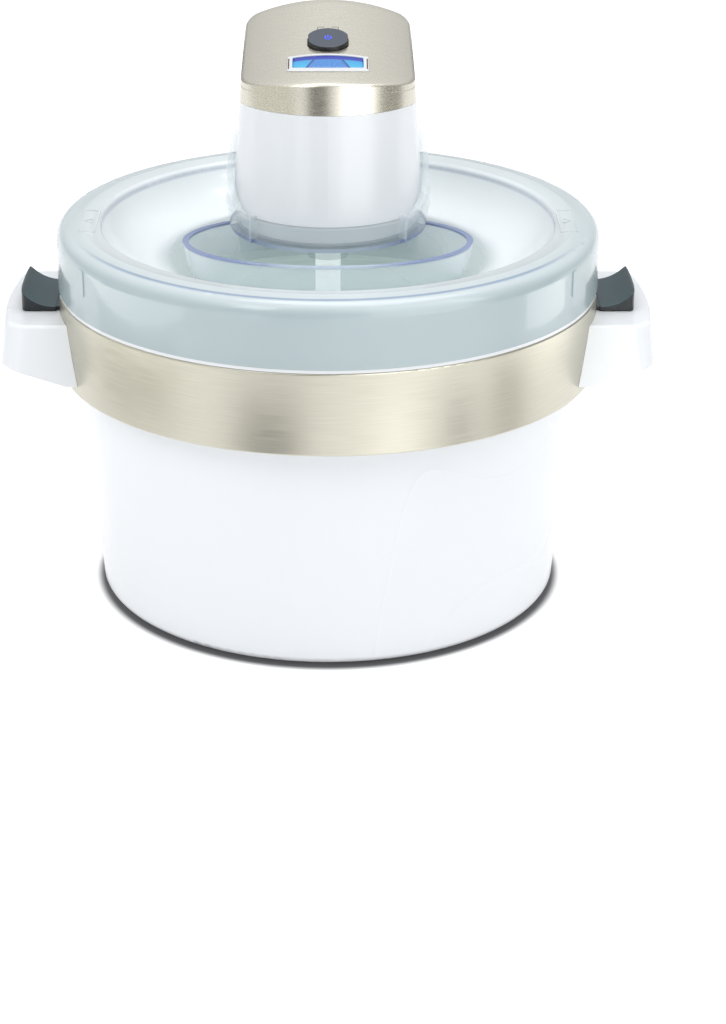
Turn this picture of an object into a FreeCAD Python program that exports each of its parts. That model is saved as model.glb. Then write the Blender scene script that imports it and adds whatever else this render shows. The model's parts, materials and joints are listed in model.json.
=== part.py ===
import FreeCAD, Part
import math
import os

# Ice cream maker: a tub that holds a pre-frozen bowl, a clear lid with a filler
# funnel, and a motor unit that stands in the lid's cup and turns the paddle.
# Millimetres. +Z is up, -Y is the front, and the origin is the middle of the
# surface that the machine stands on.

# ---- driving dimensions: tub and band -------------------------------------
TUB_R = 102.4            # outer radius of the tub, projected down to z = 0
TUB_FLARE = 0.066        # growth of that radius per millimetre of height
TUB_WALL = 2.6
TUB_BOTTOM = 1.0         # underside of the floor, held up by the feet
BAND_R = 118.0
BAND_BOTTOM = 102.8
BAND_TOP = 138.2
COLLAR_R = 115.8         # outer radius of the tub's collar, behind the band
COLLAR_INNER_R = 113.3
RIM_TOP = 139.7

# ---- handles and lifting ears ---------------------------------------------
HANDLE_TOP = 130.3
HANDLE_LOW = 107.0
HANDLE_REACH = 139.5     # x of the handle's outer end, before its bulge
HANDLE_BULGE = 2.0
HANDLE_WALL = 2.6
HANDLE_SCREW_Y = 28.0
HANDLE_SCREW_Z = 119.0
EAR_HALF_WIDTH = 19.0
EAR_OUTER_R = 134.0
EAR_BOTTOM = 130.8
EAR_LOW = 132.4          # top of the ear next to the lid
EAR_HIGH = 139.0         # top of the ear's outer lip
NOTCH_HALF_WIDTH = 19.5

# ---- freezer bowl ----------------------------------------------------------
BOWL_BOTTOM = 8.0
BOWL_R_LOW = 95.5
BOWL_R_HIGH = 100.5
LINER_FLOOR = 24.0
LINER_R_LOW = 80.0
LINER_R_HIGH = 84.0
LINER_WALL = 1.2
GEL_TOP = 122.0
BOWL_RIM_TOP = 146.0
BOWL_RIM_R = 112.8
BAYONET_ANGLES = (30.0, 150.0, 210.0, 330.0)
BAYONET_TURN = 10.0      # lid travel from free to locked, degrees

# ---- lid -------------------------------------------------------------------
LID_R = 118.0
LID_WALL = 2.4
LID_BOTTOM = 139.9
LID_RIM_TOP = 168.0
DISH_EDGE_R = 99.0
DISH_FLOOR = 150.2
FUNNEL_X = 62.0          # semi-axes of the oval filler funnel, at its top
FUNNEL_Y = 38.0
FUNNEL_CENTRE_Y = -26.0
FUNNEL_TOP = 165.0
FUNNEL_WALL = 2.6
CUP_FLOOR = 164.3
CUP_FRONT_TOP = 174.8
WING_TOP = 199.0         # top of the cup's side and back walls
HUB_R = 9.0
HUB_BORE = 6.6

# ---- motor unit --------------------------------------------------------------
HEAD_BOTTOM = 175.0
HEAD_SPLIT = 222.0       # joint between the white shell and the top cover
HEAD_PLAN_TOP = 258.0    # height at which the upper plan below is reached
HEAD_WALL = 2.4
HEAD_PLAN_LOW = {"front": -41.0, "front_r": 41.2, "half": 40.9, "corner": 30.0,
                 "back": 41.0, "back_corner": 33.0}
HEAD_PLAN_HIGH = {"front": -36.9, "front_r": 43.0, "half": 34.7, "corner": 10.0,
                  "back": 39.4, "back_corner": 9.0}
PANEL_TILT = 13.74       # slope of the top panel, degrees, down to the front
PANEL_FRONT_Y = -36.0
PANEL_FRONT_Z = 235.5
PANEL_CROWN_R = 85.0
INLET_Z = 209.5          # height of the mains lead's collar at the back
SPIGOT_BOTTOM = 167.2
SPIGOT_R = 38.5
BUTTON_V = 37.0          # middle of the button, up the slope from the front
BUTTON_R = 9.0
BUTTON_HALF = 8.4        # flats at the button's left and right
BUTTON_PROUD = 1.9
DISPLAY_V0 = 9.6
DISPLAY_V1 = 25.6
DISPLAY_HALF = 17.1
SCREEN_V0 = 13.2
SCREEN_V1 = 23.6
SCREEN_HALF = 14.4

# ---- gear train: module, teeth, face width -----------------------------------
PRESSURE_ANGLE = math.radians(20.0)
BACKLASH = 0.06          # taken off each side of each tooth
FAST = {"module": 0.6, "pinion": 12, "gear": 40}
MIDDLE = {"module": 0.8, "pinion": 12, "gear": 36}
SLOW = {"module": 1.0, "pinion": 12, "gear": 30}
SLOW_Z = (172.4, 178.4)
MIDDLE_Z = (180.0, 184.0)
FAST_Z = (186.0, 189.0)
PLATE_LOW_Z = (169.6, 171.2)
PLATE_HIGH_Z = (191.6, 193.2)
PLATE_R = 34.5
DRIVE_SHAFT_R = 4.0
HEX_FLATS = 7.0          # across flats of the drive shaft's lower end
HEX_CLEARANCE = 0.06
RUNNING_CLEARANCE = 0.05

# ---- paddle -----------------------------------------------------------------
STEM_R = 5.5
STEM_TOP = 163.0
PADDLE_HALF = 75.5
PADDLE_LOW = 27.0
PADDLE_HIGH = 138.0

SEAM_ANGLE = math.radians(100.0)   # where turned surfaces start and end

UP = FreeCAD.Vector(0, 0, 1)
ALONG_X = FreeCAD.Vector(1, 0, 0)
ALONG_Y = FreeCAD.Vector(0, 1, 0)
ORIGIN = FreeCAD.Vector(0, 0, 0)


def vec(x, y, z=0.0):
    return FreeCAD.Vector(x, y, z)


def cylinder(radius, z0, z1, x=0.0, y=0.0):
    return Part.makeCylinder(radius, z1 - z0, vec(x, y, z0), UP)


def cone(r0, r1, z0, z1):
    return Part.makeCone(r0, r1, z1 - z0, vec(0, 0, z0), UP)


def ring(r_in, r_out, z0, z1):
    return cylinder(r_out, z0, z1).cut(cylinder(r_in, z0 - 1, z1 + 1))


def box(x0, x1, y0, y1, z0, z1):
    return Part.makeBox(x1 - x0, y1 - y0, z1 - z0, vec(x0, y0, z0))


def join(shapes):
    whole = shapes[0].multiFuse(list(shapes[1:])) if len(shapes) > 1 else shapes[0]
    return whole.removeSplitter()


def outline(start, steps, place):
    """A closed face from lines, given as (point,), and arcs, (middle, point)."""
    edges = []
    here = start
    for step in steps + [(start,)]:
        end = step[-1]
        if end == here:
            continue
        if len(step) == 1:
            edges.append(Part.makeLine(place(*here), place(*end)))
        else:
            edges.append(Part.Arc(place(*here), place(*step[0]), place(*end)).toShape())
        here = end
    return Part.Face(Part.Wire(edges))


def revolved(start, steps):
    """A profile of (radius, height) points, turned round the Z axis."""
    across = math.cos(SEAM_ANGLE)
    along = math.sin(SEAM_ANGLE)
    profile = outline(start, steps, lambda r, z: vec(r * across, r * along, z))
    return profile.revolve(ORIGIN, UP, 360)


def turned(shape, degrees):
    copy = shape.copy()
    copy.rotate(ORIGIN, UP, degrees)
    return copy


def mirrored_x(shape):
    return shape.mirror(ORIGIN, ALONG_X)


def tub_radius(z):
    return TUB_R + TUB_FLARE * z


def sector(r_in, r_out, z0, z1, middle, half):
    """Part of a ring, from middle - half to middle + half degrees."""
    piece = Part.makeCylinder(r_out, z1 - z0, vec(0, 0, z0), UP, 2 * half)
    piece = piece.cut(cylinder(r_in, z0 - 1, z1 + 1))
    return turned(piece, middle - half)


# ---- base ----------------------------------------------------------------------

def ear_notches():
    """Space that the lifting ears' arms need through the collar and band."""
    half = NOTCH_HALF_WIDTH
    notch = box(100, BAND_R + 2, -half, half, EAR_BOTTOM - 0.5, RIM_TOP + 2)
    return join([notch, mirrored_x(notch)])


def handle_screw_places():
    return [(side, y) for side in (1, -1) for y in (-HANDLE_SCREW_Y, HANDLE_SCREW_Y)]


def along_x(radius, x0, x1, y, z):
    """A cylinder along X, from x0 to x1."""
    start = vec(min(x0, x1), y, z)
    return Part.makeCylinder(radius, abs(x1 - x0), start, ALONG_X)


def foot_places():
    return [(85 * math.cos(math.radians(a)), 85 * math.sin(math.radians(a)))
            for a in (45, 135, 225, 315)]


def outer_housing():
    top = 104.0
    inner_top = top + 3.0
    floor = TUB_BOTTOM + TUB_WALL
    shell = revolved((0, TUB_BOTTOM), [
        ((tub_radius(0) - 3.2, TUB_BOTTOM),),
        ((tub_radius(0) - 0.8, TUB_BOTTOM + 0.9), (tub_radius(4), TUB_BOTTOM + 3.0)),
        ((tub_radius(top), top),),
        ((COLLAR_R, top),),
        ((COLLAR_R, BAND_TOP + 0.1),),
        ((BAND_R - 0.4, BAND_TOP + 0.1),),
        ((BAND_R - 0.4, RIM_TOP),),
        ((COLLAR_INNER_R, RIM_TOP),),
        ((COLLAR_INNER_R, inner_top),),
        ((tub_radius(inner_top) - TUB_WALL, inner_top),),
        ((tub_radius(floor + 3) - TUB_WALL, floor + 3),),
        ((tub_radius(floor) - TUB_WALL - 3, floor),),
        ((0, floor),),
    ])
    seat = ring(60, 64, floor - 0.5, BOWL_BOTTOM)
    ribs = [turned(box(63.5, 98, -1, 1, floor - 0.5, BOWL_BOTTOM - 1.5), a + 22.5)
            for a in range(0, 360, 45)]
    shell = join([shell, seat] + ribs)
    for x, y in foot_places():
        shell = shell.cut(cylinder(7.2, 0, TUB_BOTTOM + 1.0, x, y))
    for side, y in handle_screw_places():
        shell = shell.cut(along_x(2.1, side * 100, side * 120, y, HANDLE_SCREW_Z))
    return shell.cut(ear_notches())


def trim_band():
    band = revolved((COLLAR_R + 0.05, BAND_BOTTOM), [
        ((BAND_R - 0.8, BAND_BOTTOM),),
        ((BAND_R - 0.2, BAND_BOTTOM + 0.2), (BAND_R, BAND_BOTTOM + 0.8)),
        ((BAND_R, BAND_TOP - 0.6),),
        ((BAND_R - 0.2, BAND_TOP - 0.2), (BAND_R - 0.6, BAND_TOP)),
        ((COLLAR_R + 0.05, BAND_TOP),),
    ])
    for side, y in handle_screw_places():
        band = band.cut(along_x(2.1, side * 100, side * 120, y, HANDLE_SCREW_Z))
    return band.cut(ear_notches())


def handle_plan(reach, half, corner, z):
    """Wire of the right handle's plan at one height, with a bulging end."""
    x_in = 96.0
    flat = reach - corner
    s = corner * (1 - math.sqrt(0.5))
    edges = [
        Part.makeLine(vec(x_in, half, z), vec(x_in, -half, z)),
        Part.makeLine(vec(x_in, -half, z), vec(flat, -half, z)),
        Part.Arc(vec(flat, -half, z), vec(reach - s, -half + s, z),
                 vec(reach, -half + corner, z)).toShape(),
        Part.Arc(vec(reach, -half + corner, z), vec(reach + HANDLE_BULGE, 0, z),
                 vec(reach, half - corner, z)).toShape(),
        Part.Arc(vec(reach, half - corner, z), vec(reach - s, half - s, z),
                 vec(flat, half, z)).toShape(),
        Part.makeLine(vec(flat, half, z), vec(x_in, half, z)),
    ]
    return Part.Wire(edges)


def handle_block(inset, top):
    """Lug with sloping front and back, from its low edge up to its top."""
    slope = (50.0 - 38.0) / (HANDLE_TOP - HANDLE_LOW)
    low = handle_plan(HANDLE_REACH + 1.5 - inset, 50.0 - inset, 9.0, HANDLE_LOW)
    high = handle_plan(HANDLE_REACH - inset, 50.0 - inset - slope * (top - HANDLE_LOW), 11.0, top)
    return Part.makeLoft([low, high], True, True)


def handle():
    block = handle_block(0, HANDLE_TOP)
    rim_edges = [e for e in block.Edges
                 if e.BoundBox.ZMin > HANDLE_TOP - 0.01 and e.BoundBox.XMax > 97]
    block = block.makeFillet(2.6, rim_edges)
    under = outline((90, HANDLE_LOW - 5), [
        ((112, HANDLE_LOW),), ((146, HANDLE_LOW + 9.0),), ((146, HANDLE_LOW - 5),),
    ], lambda x, z: vec(x, -60, z)).extrude(vec(0, 120, 0))
    hollow = handle_block(HANDLE_WALL, HANDLE_TOP - HANDLE_WALL)
    hollow = hollow.cut(cylinder(BAND_R + 3.0, 90, 150))
    bosses = []
    for y in (-HANDLE_SCREW_Y, HANDLE_SCREW_Y):
        bosses.append(along_x(4.0, 110, 129, y, HANDLE_SCREW_Z))
        bosses.append(box(110, 129, y - 1, y + 1, HANDLE_SCREW_Z, HANDLE_TOP - 1))
    lug = join([block.cut(under).cut(hollow)] + bosses)
    lug = lug.cut(cylinder(BAND_R + 0.05, 90, 150))
    for y in (-HANDLE_SCREW_Y, HANDLE_SCREW_Y):
        lug = lug.cut(along_x(1.5, 110, 126, y, HANDLE_SCREW_Z))
    return lug


def handle_screws():
    screws = []
    for side, y in handle_screw_places():
        seat = math.sqrt(COLLAR_INNER_R ** 2 - y ** 2) - 1.0
        screws.append(along_x(3.6, side * (seat - 2.2), side * seat, y, HANDLE_SCREW_Z))
        screws.append(along_x(1.5, side * seat, side * 125, y, HANDLE_SCREW_Z))
    pairs = [join(screws[i:i + 2]) for i in range(0, len(screws), 2)]
    return Part.Compound(pairs)


def rubber_feet():
    return Part.Compound([cylinder(7.0, 0, TUB_BOTTOM + 1.0, x, y) for x, y in foot_places()])


# ---- freezer bowl -----------------------------------------------------------------

def bowl_outer_shell():
    wall = 2.0
    flange_top = BOWL_RIM_TOP - 2.6
    shell = revolved((0, BOWL_BOTTOM), [
        ((BOWL_R_LOW - 5, BOWL_BOTTOM),),
        ((BOWL_R_LOW - 1.4, BOWL_BOTTOM + 1.4), (BOWL_R_LOW, BOWL_BOTTOM + 5)),
        ((BOWL_R_HIGH, flange_top - 3.0),),
        ((BOWL_RIM_R - 2.5, flange_top - 3.0),),
        ((BOWL_RIM_R - 2.5, flange_top),),
        ((BOWL_R_HIGH - wall, flange_top),),
        ((BOWL_R_LOW - wall, BOWL_BOTTOM + 5),),
        ((BOWL_R_LOW - wall - 3, BOWL_BOTTOM + wall),),
        ((0, BOWL_BOTTOM + wall),),
    ])
    return shell.cut(cylinder(6.0, 0, BOWL_BOTTOM + 5, 0, 30))


def liner_profile(offset):
    """Outer face of the liner, moved outwards by an offset, as a solid."""
    r_low = LINER_R_LOW + offset
    r_high = LINER_R_HIGH + offset
    low = LINER_FLOOR - offset
    high = BOWL_RIM_TOP - 2.6
    bend = 10.0 + offset
    s = bend * (1 - math.sqrt(0.5))
    return revolved((0, low), [
        ((r_low - bend, low),),
        ((r_low - s, low + s), (r_low, low + bend)),
        ((r_high, high),),
        ((0, high),),
    ])


def bowl_liner():
    top = BOWL_RIM_TOP - 2.6
    lip = ring(LINER_R_HIGH - 0.2, LINER_R_HIGH + 5, top - LINER_WALL, top)
    liner = join([liner_profile(LINER_WALL), lip]).cut(liner_profile(0))
    tip = LINER_FLOOR + 7.0
    stud = revolved((0, LINER_FLOOR - LINER_WALL), [
        ((4.2, LINER_FLOOR - LINER_WALL),), ((4.2, tip),),
        ((3.2, tip + 2.6), (1.0, tip + 4.0)), ((0, tip + 4.0),),
    ])
    return join([liner, stud])


def coolant_gel():
    """Freezing liquid that fills the double wall, with an air gap on top."""
    gel = revolved((0, BOWL_BOTTOM + 2.1), [
        ((BOWL_R_LOW - 5.2, BOWL_BOTTOM + 2.1),),
        ((BOWL_R_LOW - 2.2, BOWL_BOTTOM + 5.1),),
        ((BOWL_R_HIGH - 3.1, GEL_TOP),),
        ((0, GEL_TOP),),
    ])
    return gel.cut(liner_profile(LINER_WALL + 0.1)).cut(cylinder(7.0, 0, 15, 0, 30))


def gel_fill_plug():
    head = cylinder(5.9, BOWL_BOTTOM + 0.4, BOWL_BOTTOM + 3.5, 0, 30)
    return head.cut(box(-3.5, 3.5, 29.2, 30.8, BOWL_BOTTOM, BOWL_BOTTOM + 1.4))


def ear_screw_places():
    return [(side, y) for side in (1, -1) for y in (-12.0, 12.0)]


def bowl_rim_ring():
    plate = BOWL_RIM_TOP - 2.5
    rim = revolved((LINER_R_HIGH - 2.0, plate), [
        ((BOWL_RIM_R - 2.4, plate),),
        ((BOWL_RIM_R - 2.4, 128.0),),
        ((BOWL_RIM_R, 128.0),),
        ((BOWL_RIM_R, BOWL_RIM_TOP - 0.8),),
        ((BOWL_RIM_R - 0.25, BOWL_RIM_TOP - 0.25), (BOWL_RIM_R - 0.8, BOWL_RIM_TOP)),
        ((LINER_R_HIGH - 1.2, BOWL_RIM_TOP),),
        ((LINER_R_HIGH - 1.8, BOWL_RIM_TOP - 0.2), (LINER_R_HIGH - 2.0, BOWL_RIM_TOP - 0.8)),
    ])
    tabs = [sector(BOWL_RIM_R - 2, 114.9, 144.6, BOWL_RIM_TOP, a + BAYONET_TURN + 1.0, 5.0)
            for a in BAYONET_ANGLES]
    rim = join([rim] + tabs)
    for side, y in ear_screw_places():
        rim = rim.cut(along_x(1.6, side * 100, side * 120, y, 135.2))
    return rim


def ear_outline(place):
    """Side outline of a lifting ear: flat below, concave thumb ramp on top."""
    x_in = BAND_R + 0.3
    return outline((x_in, EAR_BOTTOM), [
        ((EAR_OUTER_R, EAR_BOTTOM),),
        ((EAR_OUTER_R, EAR_HIGH - 0.9),),
        ((EAR_OUTER_R - 0.4, EAR_HIGH - 0.3), (EAR_OUTER_R - 1.2, EAR_HIGH)),
        ((126.8, 134.2), (x_in, EAR_LOW)),
    ], place)


def lift_ear():
    body = ear_outline(lambda x, z: vec(x, -EAR_HALF_WIDTH, z))
    body = body.extrude(vec(0, 2 * EAR_HALF_WIDTH, 0))
    body = body.common(cylinder(EAR_OUTER_R, 120, 150))
    side_edges = [e for e in body.Edges
                  if abs(e.BoundBox.XMax - e.BoundBox.XMin) < 0.6 and e.BoundBox.ZLength > 4
                  and e.BoundBox.XMin > 130]
    body = body.makeFillet(2.0, side_edges)
    arm = box(BOWL_RIM_R - 4, 125, -18.6, 18.6, EAR_BOTTOM + 0.1, 139.2)
    arm = arm.common(cylinder(BAND_R - 0.1, 120, 150))
    neck = box(112, 122, -17.6, 17.6, EAR_BOTTOM + 0.1, EAR_LOW - 0.2)
    ear = join([body, arm, neck]).cut(cylinder(BOWL_RIM_R, 100, 150))
    for y in (-12.0, 12.0):
        ear = ear.cut(along_x(1.2, 105, 123, y, 135.2))
    return ear


def ear_screws():
    screws = []
    for side, y in ear_screw_places():
        seat = math.sqrt((BOWL_RIM_R - 2.4) ** 2 - y ** 2) - 0.3
        head = along_x(2.6, side * (seat - 1.6), side * seat, y, 135.2)
        screws.append(join([head, along_x(1.2, side * seat, side * 116.5, y, 135.2)]))
    return Part.Compound(screws)


# ---- lid -----------------------------------------------------------------------------

def oval(semi_x, semi_y, z):
    edge = Part.Ellipse(vec(0, FUNNEL_CENTRE_Y, z), semi_x, semi_y).toShape()
    return Part.Wire([edge])


def oval_solid(inset, z0, z1):
    """The funnel's outside, which narrows downwards, moved in by an inset."""
    wires = []
    for z in (z0, z1):
        narrow = inset + 0.16 * (FUNNEL_TOP - z)
        wires.append(oval(FUNNEL_X - narrow, FUNNEL_Y - narrow, z))
    return Part.makeLoft(wires, True, True)


def lid_dish():
    return revolved((LID_R, LID_BOTTOM), [
        ((LID_R, 161.0),),
        ((LID_R - 1.6, 165.4), (LID_R - 5.6, 167.4)),
        ((LID_R - 11.0, LID_RIM_TOP),),
        ((DISH_EDGE_R + 2.0, LID_RIM_TOP - 0.6),),
        ((DISH_EDGE_R + 0.2, LID_RIM_TOP - 1.4), (DISH_EDGE_R - 0.6, LID_RIM_TOP - 3.4)),
        ((88.5, 153.8), (70.0, DISH_FLOOR)),
        ((0, DISH_FLOOR),),
        ((0, DISH_FLOOR - LID_WALL),),
        ((70.3, DISH_FLOOR - LID_WALL),),
        ((90.2, 151.9), (DISH_EDGE_R + 1.8, LID_RIM_TOP - 4.0)),
        ((DISH_EDGE_R + 3.6, LID_RIM_TOP - 2.9),),
        ((LID_R - 7.0, LID_RIM_TOP - 2.9),),
        ((LID_R - 3.6, 164.0), (LID_R - LID_WALL - 0.2, 160.0)),
        ((LID_R - LID_WALL - 0.2, LID_BOTTOM),),
    ])


def cup_wings():
    """Side and back walls of the motor cup. They clear the motor unit as it
    stands, and the straight path of its wide foot as it is lifted out."""
    outside = Part.makeLoft([head_plan(CUP_FRONT_TOP, -3.4), head_plan(184.0, -3.6),
                             head_plan(WING_TOP, -3.7)], True, True)
    standing = Part.makeLoft([head_plan(CUP_FRONT_TOP - 0.2, -0.8),
                              head_plan(WING_TOP + 1, -0.8)], True, True)
    lift_path = Part.Face(head_plan(HEAD_BOTTOM, -0.5)).extrude(vec(0, 0, 30))
    front = outline((-60, CUP_FRONT_TOP), [
        ((-28.5, CUP_FRONT_TOP),),
        ((-16.0, 180.5), (-7.0, WING_TOP + 2),),
        ((-60, WING_TOP + 2),),
    ], lambda y, z: vec(-60, y, z)).extrude(vec(120, 0, 0))
    return outside.cut(standing).cut(lift_path).cut(front)


def lid():
    cup_wall = cone(42.5, 44.4, CUP_FLOOR, CUP_FRONT_TOP).cut(
        cylinder(SPIGOT_R + 1.4, CUP_FLOOR - 1, CUP_FRONT_TOP + 1))
    cup_floor = cylinder(42.5, CUP_FLOOR, CUP_FLOOR + 2.2)
    cup_skirt = cone(40.5, 42.5, DISH_FLOOR - 1, CUP_FLOOR).cut(
        cone(38.1, 40.1, DISH_FLOOR - 1.1, CUP_FLOOR + 0.1))
    cup_skirt = cup_skirt.cut(oval_solid(0.5, 140, 170))
    hub = cylinder(HUB_R, DISH_FLOOR, CUP_FLOOR + 1)
    funnel = oval_solid(0, DISH_FLOOR - LID_WALL, FUNNEL_TOP)
    pressing_rib = ring(101.0, 103.0, 148.1, 165.3)
    lugs = [sector(113.2, LID_R - 1, 141.0, 144.1, a, 4.0) for a in BAYONET_ANGLES]
    marks = [sector(LID_R - 0.5, LID_R + 0.5, 151.0, 162.0, a, 0.7) for a in BAYONET_ANGLES]
    shell = join([lid_dish(), cup_skirt, funnel, pressing_rib] + lugs + marks)
    shell = shell.cut(oval_solid(FUNNEL_WALL, 130, FUNNEL_TOP + 5))
    whole = join([shell, cup_wall, cup_floor, hub, cup_wings()])
    return whole.cut(cylinder(HUB_BORE, 130, 180))


def lid_seal():
    return revolved((99.5, BOWL_RIM_TOP), [
        ((105.5, BOWL_RIM_TOP),),
        ((105.5, BOWL_RIM_TOP + 1.4),),
        ((105.3, BOWL_RIM_TOP + 1.8), (104.8, BOWL_RIM_TOP + 2.0)),
        ((100.2, BOWL_RIM_TOP + 2.0),),
        ((99.7, BOWL_RIM_TOP + 1.8), (99.5, BOWL_RIM_TOP + 1.4)),
    ])


# ---- motor unit: shells ------------------------------------------------------------

def arc_points(centre, radius, start, end, count):
    """Points along an arc, from the start angle up to but not at the end."""
    angles = [start + (end - start) * i / count for i in range(count)]
    return [(centre[0] + radius * math.cos(a), centre[1] + radius * math.sin(a))
            for a in angles]


def line_points(start, end, count):
    return [(start[0] + (end[0] - start[0]) * i / count,
             start[1] + (end[1] - start[1]) * i / count) for i in range(count)]


def head_plan(z, inset):
    """Wire of the motor unit's plan at one height, moved in by an inset.

    The front is one wide arc. It runs through corner arcs into the straight
    sides, and the straight back has rounder corners below than above. The
    whole plan is one smooth closed curve.
    """
    share = (z - HEAD_BOTTOM) / (HEAD_PLAN_TOP - HEAD_BOTTOM)
    size = {k: HEAD_PLAN_LOW[k] + share * (HEAD_PLAN_HIGH[k] - HEAD_PLAN_LOW[k])
            for k in HEAD_PLAN_LOW}
    middle_y = size["front"] + size["front_r"]
    front_r = size["front_r"] - inset
    half = size["half"] - inset
    corner = size["corner"] - inset
    back = size["back"] - inset
    back_corner = size["back_corner"] - inset
    corner_x = half - corner
    corner_y = middle_y - math.sqrt((front_r - corner) ** 2 - corner_x ** 2)
    meet = math.atan2(corner_y - middle_y, corner_x)
    side = back - back_corner
    quarter = math.pi / 2

    right = arc_points((0, middle_y), front_r, -quarter, meet, 8)
    right += arc_points((corner_x, corner_y), corner, meet, 0, 6)
    right += line_points((half, corner_y), (half, side), 4)
    right += arc_points((half - back_corner, side), back_corner, 0, quarter, 8)
    right += line_points((half - back_corner, back), (0, back), 3)
    left = [(-x, y) for x, y in reversed(right[1:])]
    points = [vec(x, y, z) for x, y in right + [(0, back)] + left]
    curve = Part.BSplineCurve()
    curve.interpolate(Points=points, PeriodicFlag=True,
                      Parameters=[float(i) for i in range(len(points) + 1)])
    return Part.Wire([curve.toShape()])


def head_solid(z0, z1, inset):
    return Part.makeLoft([head_plan(z0, inset), head_plan(z1, inset)], True, True)


def on_panel(shape):
    """Moves a shape from panel axes (x, up the slope, normal) to the machine's."""
    placed = shape.copy()
    placed.rotate(ORIGIN, ALONG_X, PANEL_TILT)
    placed.translate(vec(0, PANEL_FRONT_Y, PANEL_FRONT_Z))
    return placed


def crown(depth):
    """Cylinder whose top line is the panel's middle, a depth below it."""
    axis_at = vec(0, -60, -PANEL_CROWN_R)
    barrel = Part.makeCylinder(PANEL_CROWN_R - depth, 200, axis_at, ALONG_Y)
    barrel.rotate(axis_at, ALONG_Y, 180)
    return barrel


def button_prism(grow, n0, n1):
    disc = cylinder(BUTTON_R + grow, n0, n1, 0, BUTTON_V)
    half = BUTTON_HALF + grow
    return disc.common(box(-half, half, 0, 80, n0, n1))


def display_prism(half, v0, v1, n0, n1):
    """Window shape: straight far edge, near edge bowed like the front wall."""
    bow = half ** 2 / (2 * HEAD_PLAN_HIGH["front_r"])
    face = outline((-half, v1), [
        ((-half, v0 + bow),), ((0, v0), (half, v0 + bow)), ((half, v1),),
    ], lambda x, v: vec(x, v, n0))
    return face.extrude(vec(0, 0, n1 - n0))


def cover_screw_places():
    return [(side * x, y) for side in (1, -1) for x, y in ((26.0, -20.0), (21.0, 29.0))]


def motor_housing():
    ledge = HEAD_BOTTOM + HEAD_WALL
    outside = head_solid(HEAD_BOTTOM, HEAD_SPLIT, 0).fuse(
        cylinder(SPIGOT_R, SPIGOT_BOTTOM, HEAD_BOTTOM + 1))
    shell = outside.cut(head_solid(ledge, HEAD_SPLIT + 0.5, HEAD_WALL))
    shell = shell.cut(cylinder(SPIGOT_R - HEAD_WALL, SPIGOT_BOTTOM + HEAD_WALL, ledge + 1))
    for x, y in cover_screw_places():
        shell = shell.fuse(cylinder(3.4, HEAD_BOTTOM + 0.6, HEAD_SPLIT - 2, x, y))
        shell = shell.cut(cylinder(1.7, HEAD_BOTTOM - 10, HEAD_SPLIT + 1, x, y))
        shell = shell.cut(cylinder(2.9, HEAD_BOTTOM - 10, HEAD_BOTTOM + 3, x, y))
    shell = shell.cut(cylinder(5.2, SPIGOT_BOTTOM - 1, SPIGOT_BOTTOM + 4))
    shell = shell.cut(Part.makeCylinder(5.0, 20, vec(0, 30, INLET_Z), ALONG_Y))
    for x in (-22, -17, -12, 12, 17, 22):
        shell = shell.cut(box(x - 1, x + 1, 34, 50, 208, 218))
    return shell


def top_cover():
    body = head_solid(HEAD_SPLIT, 262, 0).common(on_panel(crown(0)))
    inner = head_solid(HEAD_SPLIT - 1, 262, HEAD_WALL).common(on_panel(crown(HEAD_WALL)))
    cover = body.cut(inner)
    posts = []
    for x, y in cover_screw_places():
        post = cylinder(3.4, HEAD_SPLIT + 0.1, 262, x, y)
        posts.append(post.common(head_solid(HEAD_SPLIT - 1, 262, 1.0).common(on_panel(crown(1.0)))))
    cover = join([cover] + posts)
    cover = cover.cut(on_panel(button_prism(0.35, -8, 8)))
    cover = cover.cut(on_panel(display_prism(DISPLAY_HALF, DISPLAY_V0, DISPLAY_V1, -8, 8)))
    for x, y in cover_screw_places():
        cover = cover.cut(cylinder(1.3, HEAD_SPLIT - 1, HEAD_SPLIT + 8, x, y))
    return cover


def cover_screws():
    screws = []
    for x, y in cover_screw_places():
        head = cylinder(2.7, HEAD_BOTTOM + 0.8, HEAD_BOTTOM + 3, x, y)
        screws.append(join([head, cylinder(1.3, HEAD_BOTTOM + 3, HEAD_SPLIT + 7, x, y)]))
    return Part.Compound(screws)


def display_bezel():
    outside = display_prism(DISPLAY_HALF - 0.1, DISPLAY_V0 + 0.1, DISPLAY_V1 - 0.1, -9, 3)
    shell = outside.common(crown(-0.3).cut(crown(2.6)))
    opening = display_prism(SCREEN_HALF + 0.5, SCREEN_V0 - 0.5, SCREEN_V1 + 0.5, -9, 3)
    return on_panel(shell.cut(opening))


def display_window():
    pane = display_prism(SCREEN_HALF + 0.4, SCREEN_V0 - 0.4, SCREEN_V1 + 0.4, -9, 3)
    return on_panel(pane.common(crown(0.0).cut(crown(1.4))))


def lcd_panel():
    return on_panel(box(-15.5, 15.5, SCREEN_V0 - 1.5, SCREEN_V1 + 1.5, -6.6, -4.2))


def control_board():
    board = box(-21.5, 21.5, 6, 48, -12.0, -10.4)
    chip = box(-20, -10, 28, 38, -10.4, -8.8)
    legs = [box(x - 0.6, x + 0.6, SCREEN_V0, SCREEN_V0 + 2, -10.4, -6.6) for x in (-13, 13)]
    return on_panel(join([board, chip] + legs))


def power_switch():
    body = box(-3, 3, BUTTON_V - 3, BUTTON_V + 3, -10.4, -8.4)
    return on_panel(join([body, cylinder(1.6, -8.4, -7.4, 0, BUTTON_V)]))


def power_button():
    cap = button_prism(0, -4.4, BUTTON_PROUD)
    top = [e for e in cap.Edges if e.BoundBox.ZMin > BUTTON_PROUD - 0.01]
    cap = cap.makeFillet(0.6, top)
    flange = button_prism(1.0, -4.4, -3.6)
    stem = cylinder(1.8, -6.1, -4.4, 0, BUTTON_V)
    return on_panel(join([cap, flange, stem]))


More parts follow.
